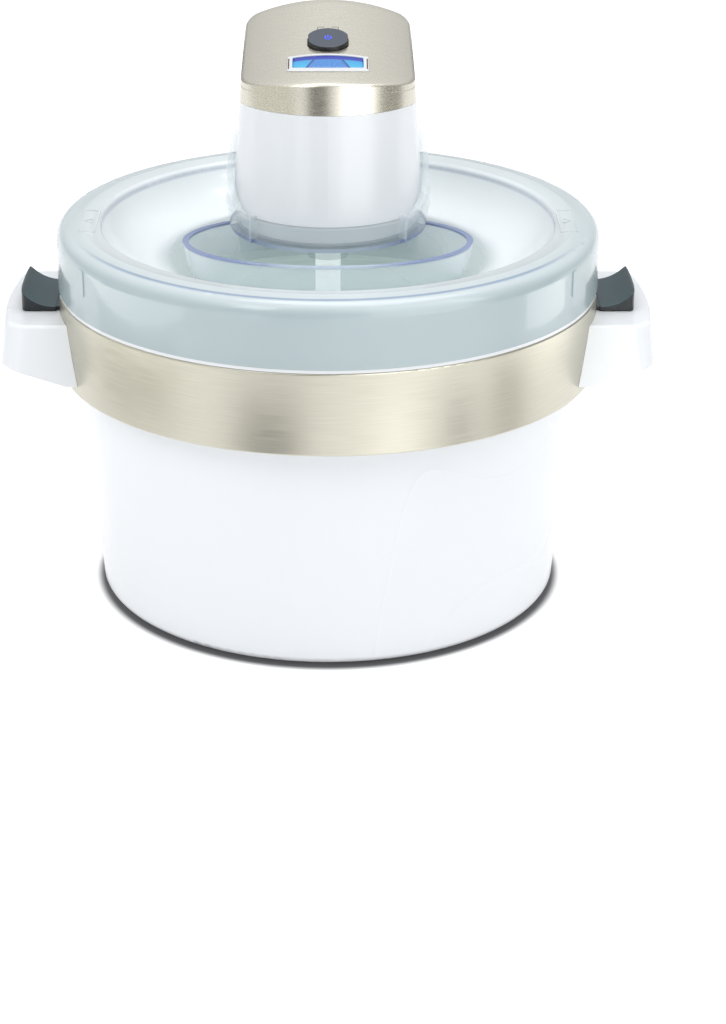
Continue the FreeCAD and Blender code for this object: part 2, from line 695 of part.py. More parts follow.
def cord_inlet():
    """Soft collar in the hole at the back, where the mains lead goes in."""
    back = 40.3
    tube = Part.makeCylinder(4.8, 8, vec(0, back - 5, INLET_Z), ALONG_Y)
    flange = Part.makeCylinder(7.5, 2.4, vec(0, back + 0.6, INLET_Z), ALONG_Y)
    inner = Part.makeCylinder(7.0, 1.6, vec(0, back - 5, INLET_Z), ALONG_Y)
    collar = join([tube, flange, inner])
    return collar.cut(Part.makeCylinder(3.2, 30, vec(0, back - 10, INLET_Z), ALONG_Y))


# ---- motor unit: gears ---------------------------------------------------------------

def involute(base_r, radius):
    """Angle round the gear that an involute has turned by at a radius."""
    spread = math.sqrt(max((radius / base_r) ** 2 - 1, 0.0))
    return spread - math.atan(spread)


def polar(radius, angle, z):
    return vec(radius * math.cos(angle), radius * math.sin(angle), z)


def gear(module, teeth, z0, z1, tooth_at):
    """Spur gear with stub teeth, one of them centred at tooth_at (radians)."""
    pitch_r = module * teeth / 2
    base_r = pitch_r * math.cos(PRESSURE_ANGLE)
    tip_r = pitch_r + 0.75 * module
    root_r = pitch_r - module
    start_r = max(base_r, root_r)
    middle_r = (start_r + tip_r) / 2
    half = (math.pi * module / 4 - BACKLASH) / pitch_r + involute(base_r, pitch_r)
    pitch = 2 * math.pi / teeth

    def flank(tooth, radius, side):
        turn = half - involute(base_r, radius)
        return polar(radius, tooth_at + tooth * pitch + side * turn, z0)

    def root(tooth, side):
        return polar(root_r, tooth_at + tooth * pitch + side * half, z0)

    edges = []
    for i in range(teeth):
        left = [flank(i, r, -1) for r in (start_r, middle_r, tip_r)]
        right = [flank(i, r, 1) for r in (tip_r, middle_r, start_r)]
        edges.append(Part.Arc(*left).toShape())
        edges.append(Part.makeLine(left[2], right[0]))
        edges.append(Part.Arc(*right).toShape())
        if start_r > root_r:
            edges.append(Part.makeLine(right[2], root(i, 1)))
            edges.append(Part.makeLine(root(i, 1), root(i + 1, -1)))
            edges.append(Part.makeLine(root(i + 1, -1), flank(i + 1, start_r, -1)))
        else:
            edges.append(Part.makeLine(right[2], flank(i + 1, start_r, -1)))
    return Part.Face(Part.Wire(edges)).extrude(vec(0, 0, z1 - z0))


def spacing(stage):
    return stage["module"] * (stage["pinion"] + stage["gear"]) / 2


def direction(a, b):
    return math.atan2(b[1] - a[1], b[0] - a[0])


OUTPUT_AT = (0.0, 0.0)
GEAR_2_AT = (spacing(SLOW), 0.0)
GEAR_1_X = 11.0
GEAR_1_AT = (GEAR_1_X, math.sqrt(spacing(MIDDLE) ** 2 - (GEAR_2_AT[0] - GEAR_1_X) ** 2))
MOTOR_BEARING = math.radians(200.0)
MOTOR_AT = (GEAR_1_AT[0] + spacing(FAST) * math.cos(MOTOR_BEARING),
            GEAR_1_AT[1] + spacing(FAST) * math.sin(MOTOR_BEARING))


def mesh_pair(stage, pinion_at, gear_at, z_span, pinion_extra):
    """Pinion and gear of one stage, in mesh: a tooth faces a gap."""
    towards = direction(pinion_at, gear_at)
    pinion = gear(stage["module"], stage["pinion"], z_span[0] - pinion_extra[0],
                  z_span[1] + pinion_extra[1], towards)
    wheel = gear(stage["module"], stage["gear"], z_span[0], z_span[1],
                 towards + math.pi + math.pi / stage["gear"])
    pinion.translate(vec(pinion_at[0], pinion_at[1]))
    wheel.translate(vec(gear_at[0], gear_at[1]))
    return pinion, wheel


FAST_PAIR = mesh_pair(FAST, MOTOR_AT, GEAR_1_AT, FAST_Z, (0.4, 0.8))
MIDDLE_PAIR = mesh_pair(MIDDLE, GEAR_1_AT, GEAR_2_AT, MIDDLE_Z, (0.4, 2.1))
SLOW_PAIR = mesh_pair(SLOW, GEAR_2_AT, OUTPUT_AT, SLOW_Z, (0.4, 1.7))
PIN_1_R = 1.5
PIN_2_R = 2.0


def compound_gear_1():
    body = join([FAST_PAIR[1], MIDDLE_PAIR[0]])
    spacer = cylinder(2.6, FAST_Z[1], PLATE_HIGH_Z[0] - 0.4, *GEAR_1_AT)
    return join([body, spacer]).cut(cylinder(PIN_1_R + RUNNING_CLEARANCE, 160, 200, *GEAR_1_AT))


def compound_gear_2():
    body = join([MIDDLE_PAIR[1], SLOW_PAIR[0]])
    spacer = cylinder(3.2, MIDDLE_Z[1], PLATE_HIGH_Z[0] - 0.4, *GEAR_2_AT)
    return join([body, spacer]).cut(cylinder(PIN_2_R + RUNNING_CLEARANCE, 160, 200, *GEAR_2_AT))


def axle_pins():
    pins = [cylinder(PIN_1_R, PLATE_LOW_Z[0], PLATE_HIGH_Z[1], *GEAR_1_AT),
            cylinder(PIN_2_R, PLATE_LOW_Z[0], PLATE_HIGH_Z[1], *GEAR_2_AT)]
    return Part.Compound(pins)


def output_gear():
    hub = cylinder(7.5, SLOW_Z[1], SLOW_Z[1] + 1.2)
    return join([SLOW_PAIR[1], hub]).cut(cylinder(DRIVE_SHAFT_R, 160, 200))


def hexagon(flats, z0, z1):
    corner = flats / math.sqrt(3)
    points = [polar(corner, math.radians(60 * i), z0) for i in range(7)]
    return Part.Face(Part.makePolygon(points)).extrude(vec(0, 0, z1 - z0))


def drive_shaft():
    """Round in the gearbox, hexagonal below, where it fits the paddle."""
    round_part = cylinder(DRIVE_SHAFT_R, SPIGOT_BOTTOM - 1, PLATE_HIGH_Z[1] - 0.1)
    groove = ring(DRIVE_SHAFT_R - 0.5, DRIVE_SHAFT_R + 1, 180.4, 181.4)
    return join([round_part, hexagon(HEX_FLATS, 147.5, SPIGOT_BOTTOM)]).cut(groove)


def shaft_clip():
    clip = ring(DRIVE_SHAFT_R - 0.45, DRIVE_SHAFT_R + 1.6, 180.5, 181.3)
    return clip.cut(box(0, 10, -2.0, 2.0, 180, 182))


def gear_plate(z_span):
    """Flat plate with holes for its posts and axles, clear of the cover's posts."""
    plate = cylinder(PLATE_R, *z_span).common(box(-28, 34, -23, 34, *z_span))
    for x, y in plate_post_places():
        plate = plate.cut(cylinder(1.6, 160, 200, x, y))
    for x, y in cover_screw_places():
        plate = plate.cut(cylinder(4.2, 160, 200, x, y))
    plate = plate.cut(cylinder(PIN_1_R, 160, 200, *GEAR_1_AT))
    return plate.cut(cylinder(PIN_2_R, 160, 200, *GEAR_2_AT))


def plate_post_places():
    return [(-17.0, -18.0), (18.0, -19.0), (-24.0, 6.0), (2.0, 31.0)]


def gear_plate_lower():
    return gear_plate(PLATE_LOW_Z).cut(cylinder(6.0, 160, 200))


def gear_plate_upper():
    plate = gear_plate(PLATE_HIGH_Z)
    plate = plate.cut(cylinder(DRIVE_SHAFT_R + 0.1, 160, 200))
    return plate.cut(cylinder(5.0, 160, 200, *MOTOR_AT))


def gear_plate_posts():
    posts = []
    for x, y in plate_post_places():
        sleeve = cylinder(3.0, PLATE_LOW_Z[1], PLATE_HIGH_Z[0], x, y)
        screw = cylinder(1.5, PLATE_LOW_Z[0], PLATE_HIGH_Z[1], x, y)
        head = cylinder(2.8, PLATE_HIGH_Z[1], PLATE_HIGH_Z[1] + 1.8, x, y)
        posts.append(join([sleeve, screw, head]))
    return Part.Compound(posts)


def shaft_bush():
    flange = cylinder(7.2, PLATE_LOW_Z[1], PLATE_LOW_Z[1] + 0.9)
    sleeve = cylinder(5.15, SPIGOT_BOTTOM, PLATE_LOW_Z[1])
    bore = cylinder(DRIVE_SHAFT_R + RUNNING_CLEARANCE, 160, 180)
    return join([flange, sleeve]).cut(bore)


MOTOR_Z = (PLATE_HIGH_Z[1], 226.0)
MOTOR_R = 17.0


def motor_can():
    x, y = MOTOR_AT
    can = cylinder(MOTOR_R, MOTOR_Z[0], MOTOR_Z[1], x, y)
    can = can.cut(cylinder(MOTOR_R - 1.4, MOTOR_Z[0] + 1.4, MOTOR_Z[1] - 1.4, x, y))
    magnets = cylinder(MOTOR_R - 1.0, 198.0, 221.0, x, y).cut(cylinder(13.0, 190, 230, x, y))
    keepers = [magnets.common(box(x + s, x + s + 14, y - 12, y + 12, 190, 230))
               for s in (2.0, -16.0)]
    boss = cylinder(4.5, MOTOR_Z[1] - 1.4, MOTOR_Z[1] + 1.6, x, y)
    return join([can, boss] + keepers).cut(
        cylinder(1.5 + RUNNING_CLEARANCE, 180, MOTOR_Z[1], x, y))


def rotor():
    x, y = MOTOR_AT
    shaft = cylinder(1.5, FAST_Z[0] - 0.4, MOTOR_Z[1] - 0.3, x, y)
    core = cylinder(12.4, 200.0, 219.0, x, y)
    slots = []
    for i in range(5):
        a = 2 * math.pi * i / 5
        slots.append(cylinder(2.6, 199, 220, x + 10.6 * math.cos(a), y + 10.6 * math.sin(a)))
    commutator = cylinder(3.6, 219.0, 223.5, x, y)
    return join([core.cut(slots[0].multiFuse(slots[1:])), shaft, commutator])


def motor_pinion():
    return FAST_PAIR[0].cut(cylinder(1.5, 180, 200, *MOTOR_AT))


# ---- paddle ------------------------------------------------------------------------------

def blade(x_out):
    """Upright scraping blade at one side, slanted like a plough."""
    width = 9.0
    thick = 3.2
    tip = x_out
    face = outline((tip, -thick / 2), [
        ((tip - width, 2.6),), ((tip - width, 2.6 + thick),), ((tip - 1.0, thick / 2 + 0.6),),
    ], lambda x, y: vec(x, y, PADDLE_LOW))
    return face.extrude(vec(0, 0, PADDLE_HIGH - PADDLE_LOW - 8))


def paddle():
    stem = cylinder(STEM_R, PADDLE_LOW, STEM_TOP)
    boss = cone(9.0, STEM_R, PADDLE_LOW, PADDLE_LOW + 16)
    inner = PADDLE_HALF - 9.0
    side = join([
        blade(PADDLE_HALF),
        box(0, inner + 1, -2.2, 3.2, PADDLE_LOW, PADDLE_LOW + 7),
        box(0, inner + 1, 1.4, 5.0, PADDLE_HIGH - 17, PADDLE_HIGH - 8),
    ])
    middle_bar = box(0, 38, -1.6, 2.2, 74, 82)
    middle_rib = box(34, 38, -1.6, 2.2, PADDLE_LOW + 5, 82)
    half = join([side, middle_bar, middle_rib])
    whole = join([stem, boss, half, turned(half, 180)])
    limit = revolved((0, PADDLE_LOW), [
        ((PADDLE_HALF - 9, PADDLE_LOW),),
        ((PADDLE_HALF - 2.6, PADDLE_LOW + 2.8), (PADDLE_HALF, PADDLE_LOW + 9)),
        ((PADDLE_HALF + 1, PADDLE_HIGH),),
        ((STEM_R + 1, PADDLE_HIGH),),
        ((STEM_R + 1, STEM_TOP),),
        ((0, STEM_TOP),),
    ])
    whole = whole.common(limit)
    socket = hexagon(HEX_FLATS + 2 * HEX_CLEARANCE, 146.5, STEM_TOP + 1)
    step = cylinder(5.0, PADDLE_LOW - 1, LINER_FLOOR + 11.8)
    return whole.cut(socket).cut(step)


NODES = {
    "outer_housing": outer_housing,
    "trim_band": trim_band,
    "handle_right": handle,
    "handle_left": lambda: mirrored_x(handle()),
    "handle_screws": handle_screws,
    "rubber_feet": rubber_feet,
    "bowl_outer_shell": bowl_outer_shell,
    "bowl_liner": bowl_liner,
    "coolant_gel": coolant_gel,
    "gel_fill_plug": gel_fill_plug,
    "bowl_rim_ring": bowl_rim_ring,
    "lift_ear_right": lift_ear,
    "lift_ear_left": lambda: mirrored_x(lift_ear()),
    "ear_screws": ear_screws,
    "lid_seal": lid_seal,
    "lid": lid,
    "motor_housing": motor_housing,
    "top_cover": top_cover,
    "cover_screws": cover_screws,
    "display_bezel": display_bezel,
    "display_window": display_window,
    "lcd_panel": lcd_panel,
    "control_board": control_board,
    "power_switch": power_switch,
    "power_button": power_button,
    "cord_inlet": cord_inlet,
    "motor_can": motor_can,
    "rotor": rotor,
    "motor_pinion": motor_pinion,
    "compound_gear_1": compound_gear_1,
    "compound_gear_2": compound_gear_2,
    "axle_pins": axle_pins,
    "output_gear": output_gear,
    "drive_shaft": drive_shaft,
    "shaft_clip": shaft_clip,
    "shaft_bush": shaft_bush,
    "gear_plate_lower": gear_plate_lower,
    "gear_plate_upper": gear_plate_upper,
    "gear_plate_posts": gear_plate_posts,
    "paddle": paddle,
}

os.makedirs("parts", exist_ok=True)
for node, make in NODES.items():
    shape = make()
    if not shape.isValid():
        print("invalid shape:", node)
    shape.exportStep("parts/" + node + ".step")
    print(node, len(shape.Solids), "solid(s)", round(shape.Volume / 1000, 2), "cm3")
print("motor axis", [round(c, 4) for c in MOTOR_AT])
print("gear 1 axis", [round(c, 4) for c in GEAR_1_AT])
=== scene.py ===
import json
import math

import bpy
from mathutils import Matrix, Vector

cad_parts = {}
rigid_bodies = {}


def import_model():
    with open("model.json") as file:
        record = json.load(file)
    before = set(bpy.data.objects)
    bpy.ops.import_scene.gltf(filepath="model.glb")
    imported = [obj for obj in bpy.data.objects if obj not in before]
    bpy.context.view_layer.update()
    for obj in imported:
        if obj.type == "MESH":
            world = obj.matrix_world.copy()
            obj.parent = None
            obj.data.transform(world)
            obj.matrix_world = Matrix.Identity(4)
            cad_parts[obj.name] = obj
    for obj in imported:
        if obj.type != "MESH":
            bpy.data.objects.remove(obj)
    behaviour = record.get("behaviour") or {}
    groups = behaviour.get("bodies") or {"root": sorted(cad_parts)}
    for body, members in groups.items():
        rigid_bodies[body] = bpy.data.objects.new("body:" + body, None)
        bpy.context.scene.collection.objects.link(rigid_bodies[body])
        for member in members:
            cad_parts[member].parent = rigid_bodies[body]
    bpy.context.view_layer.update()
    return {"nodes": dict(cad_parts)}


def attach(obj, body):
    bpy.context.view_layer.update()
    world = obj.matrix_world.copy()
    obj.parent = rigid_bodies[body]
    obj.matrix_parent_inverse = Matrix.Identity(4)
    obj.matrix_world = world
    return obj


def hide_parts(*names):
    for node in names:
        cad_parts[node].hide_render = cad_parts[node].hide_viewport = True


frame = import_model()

# ---- the sloping panel on top of the motor unit -----------------------------
PANEL_TILT = math.radians(13.74)
PANEL_FRONT = Vector((0, -0.036, 0.2355))
PANEL_CROWN_R = 0.085
PANEL = Matrix.Translation(PANEL_FRONT) @ Matrix.Rotation(PANEL_TILT, 4, "X")
BUTTON_V = 0.037
BUTTON_TOP = 0.0019
BUTTON_R = 0.00935
BUTTON_HALF = 0.00875    # the button's hole is a circle with two flat sides
DISPLAY_HALF = 0.0171
DISPLAY_V = (0.0096, 0.0256)
SCREEN_HALF = 0.0144
SCREEN_V = (0.0132, 0.0236)
SCREEN_SLANT = 0.45      # how far the picture's end lines lean
SCREEN_END = (0.0150, 0.0164)
SCREEN_END_LINE = ((0.0146, 0.0151), (0.0156, 0.0161))
# dark stripe at the picture's far edge: painted shadow of the bezel
BEZEL_SHADOW_V = (0.0204, 0.0212)
CUT_DEPTH = 0.008        # the holes' cutters reach this far either side

# ---- plan of the motor unit, at its foot and near its top --------------------
HEAD_LOW_Z = 0.175
HEAD_HIGH_Z = 0.258
HEAD_SPLIT = 0.222
HEAD_PLAN_LOW = {"front": -0.0410, "front_r": 0.0412, "half": 0.0409,
                 "corner": 0.030, "back": 0.0410, "back_corner": 0.033}
HEAD_PLAN_HIGH = {"front": -0.0369, "front_r": 0.0430, "half": 0.0347,
                  "corner": 0.010, "back": 0.0394, "back_corner": 0.009}

BASE_R = 0.1024          # tub's radius at the table

COVER_BACK_CORNER = 0.0042   # back corners of the cover, where its top ends
COVER_BACK_Z = 0.252
COVER_SOFT = 0.0013          # radius of its top edge
COVER_WALL = 0.0022

# ---- lid ------------------------------------------------------------------------
LID_RIM_TOP = 0.168
FUNNEL_TOP = 0.165
CUP_RIB = (0.0315, -0.0285)
CUP_RIB_Z = (0.1650, 0.1762)
CUP_RIB_HALF = 0.0007
CUP_RIB_DEPTH = (-0.0010, 0.0022)
FROST_R = (0.064, 0.080)         # clear plastic inside, frosted outside
DISH_EDGE_R = (0.0985, 0.1000)   # the dish's painted light gives way to the skirt's painted shade
# SKIRT_R and SKIRT_Z: where the skirt is painted darker, most at its lower part
SKIRT_R = (0.1000, 0.1125)
SKIRT_Z = (0.1630, 0.1672)
OUTSIDE_R = (0.0990, 0.1010)     # rim and skirt let a little more through
PAINTED_EDGE_PALE_X = (0.012, 0.040)     # the painted refraction line in the edges is paler in the middle
EDGE_R = (0.070, 0.098)          # the painted refraction line fades out over this, and ends here
EDGE_END_R = (0.0995, 0.1005)    # and ends here
# painted refraction line round the rim's shoulder, within these spans
SHOULDER_R = ((0.1108, 0.1118), (0.1124, 0.1138))
SHOULDER_Z = (0.1650, 0.1662)
SHOULDER_Y = (-0.085, -0.035)    # the painted refraction line on the shoulder is strongest at the front
ARROW_PANEL_R = (0.0998, 0.1066)
ARROW_PANEL_Y = (-0.024, 0.007)
ARROW_R = (0.1020, 0.1050)
ARROW_Y = (-0.0110, -0.0080, -0.0050)

# ---- camera and studio ----------------------------------------------------------
CAMERA_PLACE = (0, -1.059, 0.4917)
CAMERA_DOWN = math.radians(23.70)
CAMERA_LENS = 88.83
CAMERA_SHIFT_X = 0.0342
SKY_HEIGHTS = (0.15, 0.85)       # the daylight grows stronger between these
SKY_STRENGTHS = (0.44, 1.00)
TABLE_HALF = 25.0
CONTACT_WIDTH = 0.0048   # painted contact shadow: dark ring where the base meets the table
BAND_REACH = 0.054       # the band, lid and cover each mirror their own span of
LID_REACH = 0.058        # heights on the cards
COVER_REACH = 0.095


# ============================== material helpers ================================

class Nodes:
    """Short names for building one material's node tree."""

    def __init__(self, name):
        self.material = bpy.data.materials.new(name)
        self.material.use_nodes = True
        self.tree = self.material.node_tree
        self.shader = self.tree.nodes["Principled BSDF"]
        self.place = self.add("ShaderNodeTexCoord").outputs["Object"]

    def add(self, kind, **settings):
        node = self.tree.nodes.new(kind)
        for key, value in settings.items():
            setattr(node, key, value)
        return node

    def link(self, output, socket):
        self.tree.links.new(output, socket)

    def set(self, **values):
        for key, value in values.items():
            self.shader.inputs[key.replace("_", " ")].default_value = value

    def math(self, operation, a, b=0.0, clamp=False):
        node = self.add("ShaderNodeMath", operation=operation, use_clamp=clamp)
        for socket, value in zip(node.inputs, (a, b)):
            if isinstance(value, (int, float)):
                socket.default_value = value
            else:
                self.link(value, socket)
        return node.outputs[0]

    def product(self, first, *others):
        for other in others:
            first = self.math("MULTIPLY", first, other)
        return first

    def split(self, vector):
        node = self.add("ShaderNodeSeparateXYZ")
        self.link(vector, node.inputs[0])
        return node.outputs

    def stretched(self, x, y, z):
        """The object's coordinates, scaled along each axis."""
        node = self.add("ShaderNodeMapping")
        node.inputs["Scale"].default_value = (x, y, z)
        self.link(self.place, node.inputs["Vector"])
        return node.outputs["Vector"]

    def noise(self, scale, detail=2.0, vector=None):
        node = self.add("ShaderNodeTexNoise")
        node.inputs["Scale"].default_value = scale
        node.inputs["Detail"].default_value = detail
        self.link(vector or self.place, node.inputs["Vector"])
        return node.outputs["Fac"]

    def between(self, value, low, high, out_low=0.0, out_high=1.0):
        """Maps a value from one span to another, smoothly, and holds the ends."""
        node = self.add("ShaderNodeMapRange", interpolation_type="SMOOTHSTEP")
        for socket, number in zip(node.inputs[1:5], (low, high, out_low, out_high)):
            socket.default_value = number
        self.link(value, node.inputs[0])
        return node.outputs[0]

    def ridge(self, value, rise, fall):
        """One between two spans, in which it rises from zero and falls back."""
        return self.product(self.between(value, *rise), self.between(value, *fall, 1.0, 0.0))

    def radius(self, x, y):
        """Distance from the machine's axis."""
        return self.math("SQRT", self.math("ADD", self.product(x, x), self.product(y, y)))

    def streaked(self, value, colour, tone):
        """A colour that a noise value turns a little darker and lighter."""
        share = self.between(value, 0.3, 0.7)
        return self.blend(share, shaded(colour, 1 - tone), shaded(colour, 1 + tone))

    def blend(self, factor, first, second):
        """Mixes two colours, each a socket or an (r, g, b)."""
        node = self.add("ShaderNodeMix", data_type="RGBA")
        self.link(factor, node.inputs[0])
        for socket, colour in zip((node.inputs[6], node.inputs[7]), (first, second)):
            if isinstance(colour, tuple):
                socket.default_value = (*colour, 1.0)
            else:
                self.link(colour, socket)
        return node.outputs[2]

    def bump(self, height, strength, distance):
        node = self.add("ShaderNodeBump")
        node.inputs["Strength"].default_value = strength
        node.inputs["Distance"].default_value = distance
        self.link(height, node.inputs["Height"])
        self.link(node.outputs["Normal"], self.shader.inputs["Normal"])

    def colour(self, output):
        """Base colour: a socket, or one (r, g, b) all over."""
        if isinstance(output, tuple):
            self.shader.inputs["Base Color"].default_value = (*output, 1.0)
        else:
            self.link(output, self.shader.inputs["Base Color"])

    def roughness(self, output):
        self.link(output, self.shader.inputs["Roughness"])


def shaded(colour, factor):
    return tuple(min(1.0, c * factor) for c in colour)


def moulded(name, colour, roughness, grain=2500.0, relief=0.00002, coat=0.0, tone=0.03):
    """Moulded plastic: faint flow marks in its tone and a fine surface grain."""
    n = Nodes(name)
    n.colour(n.streaked(n.noise(5.0, 0.0), colour, tone))
    n.roughness(n.between(n.noise(9.0, 0.0), 0.3, 0.7, roughness * 0.93, roughness * 1.07))
    n.bump(n.noise(grain, 2.0), 0.25, relief)
    n.set(Coat_Weight=coat, Coat_Roughness=0.08)
    return n.material


def brushed(name, colour, metallic, roughness, scales, tone=0.06):
    """Brushed metal finish: fine streaks drawn out along one direction."""
    n = Nodes(name)
    streaks = n.noise(1.0, 4.0, n.stretched(*scales))
    fine = n.noise(3.1, 2.0, n.stretched(*scales))
    n.colour(n.streaked(streaks, colour, tone))
    n.roughness(n.between(fine, 0.3, 0.7, roughness * 0.95, roughness * 1.05))
    n.set(Metallic=metallic, Coat_Weight=0.15, Coat_Roughness=0.2)
    return n.material


def dark_plastic(name, top, side, roughness):
    """Fine-grained dark plastic with painted light: faces that look up are painted paler and the sides
    darker.
    """
    n = Nodes(name)
    _, _, up = n.split(n.add("ShaderNodeNewGeometry").outputs["Normal"])
    grain = n.between(n.noise(3200.0, 2.0), 0.3, 0.7)
    painted_lit_tone = n.blend(grain, shaded(top, 0.94), shaded(top, 1.06))
    painted_shade_tone = n.blend(grain, shaded(side, 0.94), shaded(side, 1.06))
    # painted light and shade: upward faces take the lit colour, the sides the shaded one
    n.colour(n.blend(n.between(up, 0.45, 0.85), painted_shade_tone, painted_lit_tone))
    n.bump(n.noise(3200.0, 2.0), 0.2, 0.00003)
    n.set(Roughness=roughness)
    return n.material


def inside_with_painted_glow(name, colour, glow_strength, metallic):
    """Surface inside the bowl with a painted glow: a faint emission of its own colour stands in for the
    daylight through the lid.
    """
    n = Nodes(name)
    rings = n.noise(1.0, 2.0, n.stretched(40, 40, 900))
    tone = n.streaked(rings, colour, 0.05)
    n.colour(tone)
    # painted glow: the surface's own colour, emitted faintly
    n.link(tone, n.shader.inputs["Emission Color"])
    n.set(Metallic=metallic, Roughness=0.4, Emission_Strength=glow_strength)
    return n.material


def around_band(n):
    """Coordinates that run round the axis, for streaks that follow a ring."""
    x, y, z = n.split(n.place)
    angle = n.math("ARCTAN2", y, x)
    joined = n.add("ShaderNodeCombineXYZ")
    n.link(n.product(angle, 6.0), joined.inputs[0])
    n.link(n.product(z, 2600.0), joined.inputs[2])
    return joined.outputs[0]


def band_metal():
    """Metal finish of the band, with fine lines that run round it."""
    n = Nodes("champagne_band")
    lines = around_band(n)
    streaks = n.noise(1.0, 4.0, lines)
    n.colour(n.streaked(streaks, CHAMPAGNE, 0.05))
    n.roughness(n.between(streaks, 0.3, 0.7, 0.28, 0.34))
    n.bump(streaks, 0.04, 0.00001)
    tangent = n.add("ShaderNodeTangent", direction_type="RADIAL", axis="Z")
    n.link(tangent.outputs[0], n.shader.inputs["Tangent"])
    n.set(Metallic=0.9, Anisotropic=0.55)
    return n.material


def lid_plastic():
    """Clear plastic: frosted skirt, rim and dish, clearer funnel and cup, with painted
    light: the skirt is painted darker than the dish, and blue refraction lines are painted into the
    thick edges that stand at the funnel's height and round the rim's shoulder."""
    n = Nodes("lid_clear")
    x, y, z = n.split(n.place)
    radius = n.radius(x, y)
    frost = n.between(radius, *FROST_R)
    # painted refraction line: blue colour and near-solid alpha in the thick edges at the funnel's height
    edge = n.product(n.ridge(z, (FUNNEL_TOP - 0.0013, FUNNEL_TOP - 0.0006),
                             (FUNNEL_TOP + 0.0005, FUNNEL_TOP + 0.0018)),
                     n.between(radius, *EDGE_R, 1.0, 0.25),
                     n.between(radius, *EDGE_END_R, 1.0, 0.0))
    # painted refraction line round the rim's shoulder, strongest at the front
    shoulder = n.product(n.ridge(radius, *SHOULDER_R), n.between(z, *SHOULDER_Z),
                         n.between(y, *SHOULDER_Y, 0.85, 0.0))
    clouds = n.between(n.noise(9.0, 1.0), 0.3, 0.7)
    clear = n.blend(clouds, (0.78, 0.86, 0.89), (0.84, 0.91, 0.93))
    # painted light and shade: the dish is painted lighter, the skirt darker
    dish = n.blend(clouds, (0.87, 0.92, 0.935), (0.92, 0.96, 0.97))
    skirt = n.blend(clouds, (0.50, 0.60, 0.62), (0.56, 0.66, 0.68))
    painted_skirt_shade = n.product(n.between(radius, *SKIRT_R, 0.25, 1.0), n.between(z, *SKIRT_Z, 1.0, 0.6),
                            n.between(radius, *DISH_EDGE_R))
    body = n.blend(frost, clear, n.blend(painted_skirt_shade, dish, skirt))
    body = n.blend(shoulder, body, (0.24, 0.33, 0.50))
    # the painted refraction line is paler in the middle
    tint = n.between(n.math("ABSOLUTE", x), *PAINTED_EDGE_PALE_X)
    n.colour(n.blend(edge, body, n.blend(tint, (0.50, 0.57, 0.68), (0.20, 0.26, 0.46))))
    outside = n.between(radius, *OUTSIDE_R)
    solid = n.math("SUBTRACT", n.between(frost, 0.0, 1.0, 0.30, 0.90), n.product(outside, 0.16))
    n.link(n.math("MAXIMUM", solid, n.product(edge, 0.9)), n.shader.inputs["Alpha"])
    n.roughness(n.between(frost, 0.0, 1.0, 0.06, 0.24))
    n.bump(n.noise(1800.0, 2.0), 0.05, 0.00001)
    n.set(IOR=1.46, Coat_Weight=0.7, Coat_Roughness=0.05)
    return n.material


def screen_glow():
    """Backlit display: blue in the middle, cyan at the ends past two slanting lines,
    and a painted shadow of the bezel as a dark stripe along the far edge."""
    n = Nodes("screen_glow")
    x, v, _ = n.split(n.place)
    slant = n.math("ADD", n.math("ABSOLUTE", x), n.product(v, SCREEN_SLANT))
    ends = n.between(slant, *SCREEN_END)
    middle = n.blend(n.between(n.noise(900.0, 1.0), 0.35, 0.65), (0.04, 0.26, 0.78), (0.07, 0.34, 0.88))
    cyan = n.blend(n.between(v, *SCREEN_V), (0.05, 0.62, 1.0), (0.02, 0.42, 0.92))
    slanting_line = n.ridge(slant, *SCREEN_END_LINE)
    face = n.blend(slanting_line, n.blend(ends, middle, cyan), (0.02, 0.06, 0.35))
    # painted shadow of the bezel along the far edge
    picture = n.blend(n.between(v, *BEZEL_SHADOW_V), face, (0.01, 0.02, 0.50))
    n.colour((0.02, 0.03, 0.05))
    n.link(picture, n.shader.inputs["Emission Color"])
    n.set(Emission_Strength=0.76, Roughness=0.3)
    return n.material


def glow(name, colour, strength):
    """Lit mark that glows in its own colour."""
    n = Nodes(name)
    tone = n.blend(n.between(n.noise(700.0, 1.0), 0.3, 0.7), shaded(colour, 0.8), colour)
    n.colour(tone)
    n.link(tone, n.shader.inputs["Emission Color"])
    n.set(Emission_Strength=strength, Roughness=0.4)
    return n.material


def window_clear():
    """Clear pane over the display."""
    n = Nodes("window_clear")
    n.colour(n.blend(n.noise(40.0, 2.0), (0.10, 0.14, 0.20), (0.14, 0.18, 0.26)))
    n.roughness(n.between(n.noise(60.0, 2.0), 0.3, 0.7, 0.04, 0.08))
    n.set(Alpha=0.10)
    return n.material


def worn_metal(name, colour, roughness, metallic=1.0):
    """Plain machined or sintered metal with small marks."""
    n = Nodes(name)
    marks = n.noise(220.0, 4.0)
    n.colour(n.blend(n.between(marks, 0.3, 0.7), shaded(colour, 0.88), shaded(colour, 1.08)))
    n.roughness(n.between(n.noise(500.0, 3.0), 0.3, 0.7, roughness * 0.75, roughness * 1.3))
    n.bump(marks, 0.1, 0.00003)
    n.set(Metallic=metallic)
    return n.material


def circuit_board():
    """Green board with a net of paler tracks."""
    n = Nodes("circuit_board")
    cells = n.add("ShaderNodeTexVoronoi", feature="DISTANCE_TO_EDGE")
    cells.inputs["Scale"].default_value = 260.0
    n.link(n.place, cells.inputs["Vector"])
    tracks = n.between(cells.outputs["Distance"], 0.02, 0.05)
    n.colour(n.blend(tracks, (0.06, 0.28, 0.12), (0.02, 0.13, 0.06)))
    n.bump(tracks, 0.2, 0.00005)
    n.set(Roughness=0.4)
    return n.material


